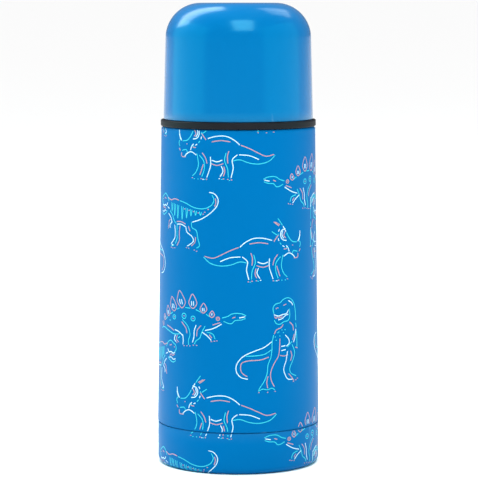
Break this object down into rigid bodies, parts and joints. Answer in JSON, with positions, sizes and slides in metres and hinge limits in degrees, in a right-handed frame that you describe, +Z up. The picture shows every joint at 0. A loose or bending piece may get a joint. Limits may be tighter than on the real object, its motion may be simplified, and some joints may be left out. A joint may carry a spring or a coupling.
{
  "type": "insulated drinks flask",
  "caption": "Vacuum-insulated children's drinks flask with a screw-on drinking cup, a press-button pouring stopper and line-drawn dinosaurs round its tapered body",
  "frame": {"origin": "centre of the flat ring the flask stands on, on the table", "axes": "+Z up along the flask's axis; -Y faces the viewer"},
  "size_m": [0.07, 0.07, 0.1985],
  "materials": {
    "body_paint": "satin",
    "cup_paint": "gloss",
    "bare_steel": "satin",
    "solder_glass": "gloss",
    "getter_metal": "sintered",
    "copper_foil": "bright",
    "black_plastic": "fine grain",
    "white_plastic": "smooth",
    "blue_plastic": "gloss",
    "dark_silicone": "matt",
    "clear_silicone": "translucent matt"
  },
  "bodies": {
    "flask": {"outer_shell": "body_paint", "base_cup": "body_paint", "vacuum_base": "bare_steel", "evacuation_seal": "solder_glass", "getter_holder": "bare_steel", "getter_pellet": "getter_metal", "inner_flask": "bare_steel", "foil_wrap": "copper_foil", "neck_collar": "black_plastic"},
    "cup_seal": {"cup_rim_seal": "dark_silicone"},
    "cup": {"cup_shell": "cup_paint", "cup_liner": "white_plastic"},
    "stopper_seal": {"stopper_gasket": "clear_silicone"},
    "stopper": {"stopper_barrel": "black_plastic", "stopper_grip": "black_plastic", "spring_seat": "bare_steel", "stem_o_ring": "dark_silicone", "button_spring": "bare_steel"},
    "valve": {"push_button": "blue_plastic", "valve_stem": "white_plastic", "valve_disc": "white_plastic", "valve_seal": "clear_silicone"}
  },
  "joints": [
    {"name": "cup_rise", "type": "slide", "parent": "flask", "child": "cup_seal", "axis": [0, 0, 1], "range_m": [0, 0.048]},
    {"name": "cup_turn", "type": "hinge", "parent": "cup_seal", "child": "cup", "pos_m": [0, 0, 0.174], "axis": [0, 0, 1], "range_deg": [0, 1440]},
    {"name": "stopper_rise", "type": "slide", "parent": "flask", "child": "stopper_seal", "axis": [0, 0, 1], "range_m": [0, 0.024]},
    {"name": "stopper_turn", "type": "hinge", "parent": "stopper_seal", "child": "stopper", "pos_m": [0, 0, 0.155], "axis": [0, 0, 1], "range_deg": [0, 1080]},
    {"name": "button_press", "type": "slide", "parent": "stopper", "child": "valve", "axis": [0, 0, -1], "range_m": [0, 0.0035], "stiffness_N_per_m": 800, "springref_m": -0.003, "deforming": ["button_spring"]}
  ],
  "couplings": [
    {"joint": "cup_turn", "follows": "cup_rise", "rad_per_m": 523.59},
    {"joint": "stopper_turn", "follows": "stopper_rise", "rad_per_m": 785.39}
  ]
}
